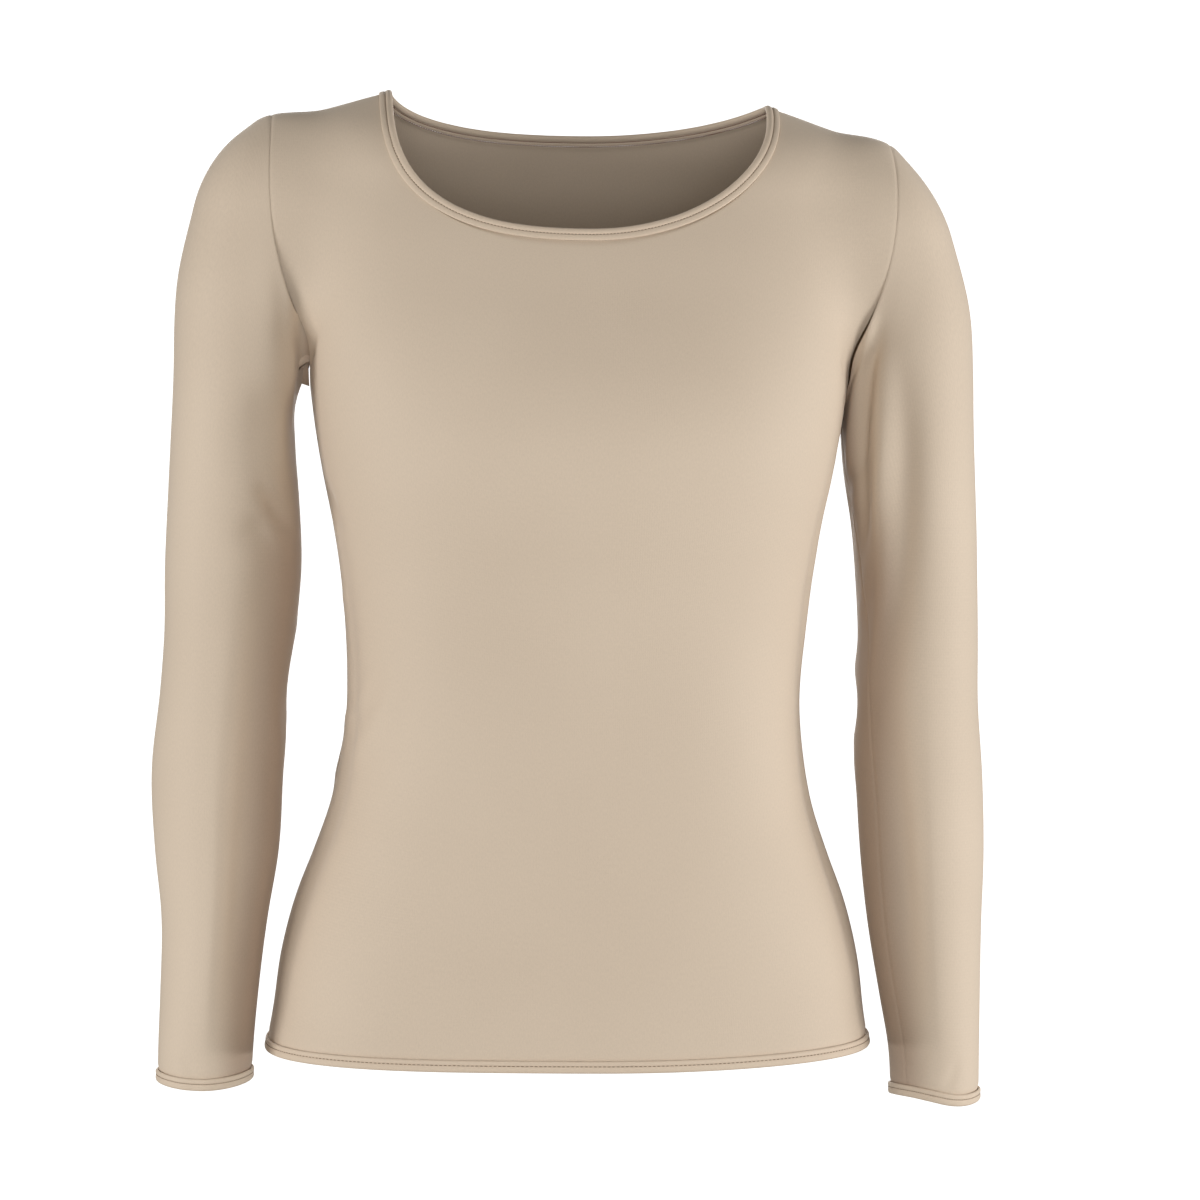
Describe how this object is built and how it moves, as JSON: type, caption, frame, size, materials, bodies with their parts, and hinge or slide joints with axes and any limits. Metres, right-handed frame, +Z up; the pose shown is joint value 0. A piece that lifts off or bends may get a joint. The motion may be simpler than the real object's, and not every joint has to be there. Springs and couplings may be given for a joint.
{
  "type": "long-sleeve t-shirt",
  "caption": "Close-fitting beige long-sleeve jersey t-shirt with a wide scoop neck, shown worn and hollow, with narrow stitched neck, hem and cuff bands.",
  "frame": {"origin": "in the body's middle plane, between the two side neck points and at the height of the shoulders, where the wearer's shoulders carry the garment", "axes": "+Z up, +X towards the viewer's right, +Y towards the back, so the front faces -Y"},
  "size_m": [0.5153, 0.2297, 0.6166],
  "materials": {
    "jersey": "matt fine knit with a faint sheen",
    "band_jersey": "matt fine knit, folded and stitched",
    "thread": "matt sewing thread"
  },
  "bodies": {
    "root": {"front_panel": "jersey", "back_panel": "jersey", "sleeve_left": "jersey", "sleeve_right": "jersey", "neck_band": "band_jersey", "hem_band": "band_jersey", "cuff_band_left": "band_jersey", "cuff_band_right": "band_jersey"}
  },
  "joints": []
}
